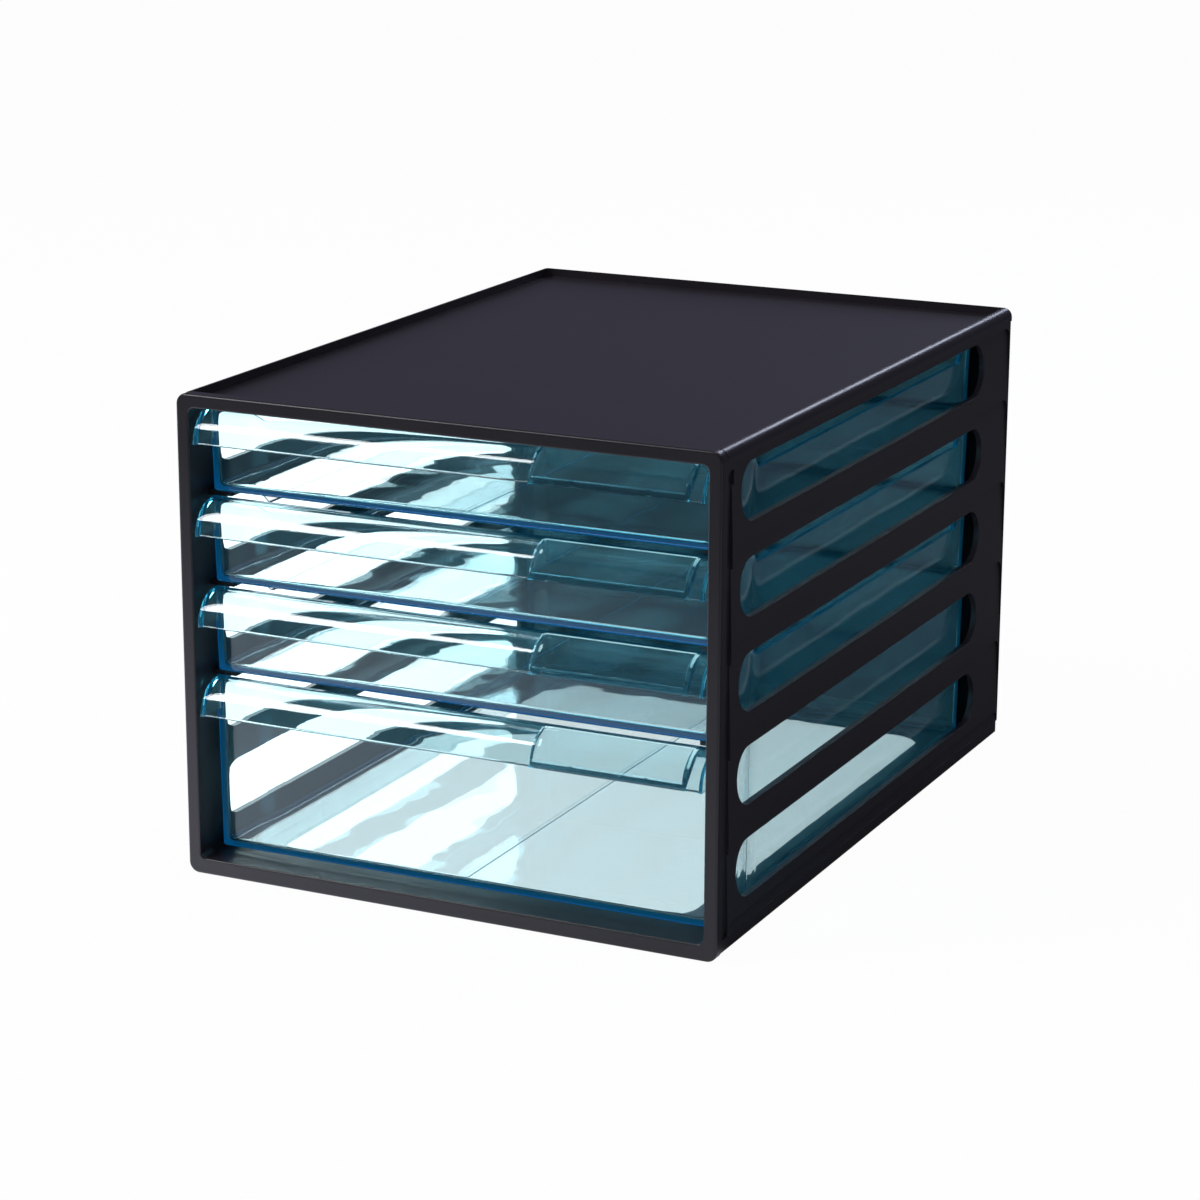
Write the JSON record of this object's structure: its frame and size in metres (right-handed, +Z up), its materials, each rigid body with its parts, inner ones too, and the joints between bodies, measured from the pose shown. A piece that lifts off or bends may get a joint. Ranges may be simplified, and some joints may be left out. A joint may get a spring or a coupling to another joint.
{
  "type": "letter tray stack with drawers",
  "caption": "Open-fronted desk case with shallow see-through sliding drawers over a deep one, rolled pull lips with card holders, slotted sides and a tray top.",
  "frame": {"origin": "middle of the underside, on the surface it stands on", "axes": "+Z up, the front with the drawers faces -Y, +X to the right as seen from the front"},
  "size_m": [0.264, 0.364, 0.224],
  "materials": {
    "case_plastic": "satin, fine moulded texture",
    "drawer_plastic": "clear polystyrene with a pale cyan tint, polished",
    "foot_rubber": "matt"
  },
  "bodies": {
    "case": {"front_frame": "case_plastic", "top_panel": "case_plastic", "base_panel": "case_plastic", "left_side_panel": "case_plastic", "right_side_panel": "case_plastic", "back_panel": "case_plastic", "front_left_foot": "foot_rubber", "rear_left_foot": "foot_rubber", "front_right_foot": "foot_rubber", "rear_right_foot": "foot_rubber"},
    "top_drawer_body": {"top_drawer": "drawer_plastic"},
    "second_drawer_body": {"second_drawer": "drawer_plastic"},
    "third_drawer_body": {"third_drawer": "drawer_plastic"},
    "bottom_drawer_body": {"bottom_drawer": "drawer_plastic"}
  },
  "joints": [
    {"name": "top_drawer_slide", "type": "slide", "parent": "case", "child": "top_drawer_body", "axis": [0, -1, 0], "range_m": [0, 0.2575]},
    {"name": "second_drawer_slide", "type": "slide", "parent": "case", "child": "second_drawer_body", "axis": [0, -1, 0], "range_m": [0, 0.2575]},
    {"name": "third_drawer_slide", "type": "slide", "parent": "case", "child": "third_drawer_body", "axis": [0, -1, 0], "range_m": [0, 0.2575]},
    {"name": "bottom_drawer_slide", "type": "slide", "parent": "case", "child": "bottom_drawer_body", "axis": [0, -1, 0], "range_m": [0, 0.2575]}
  ]
}
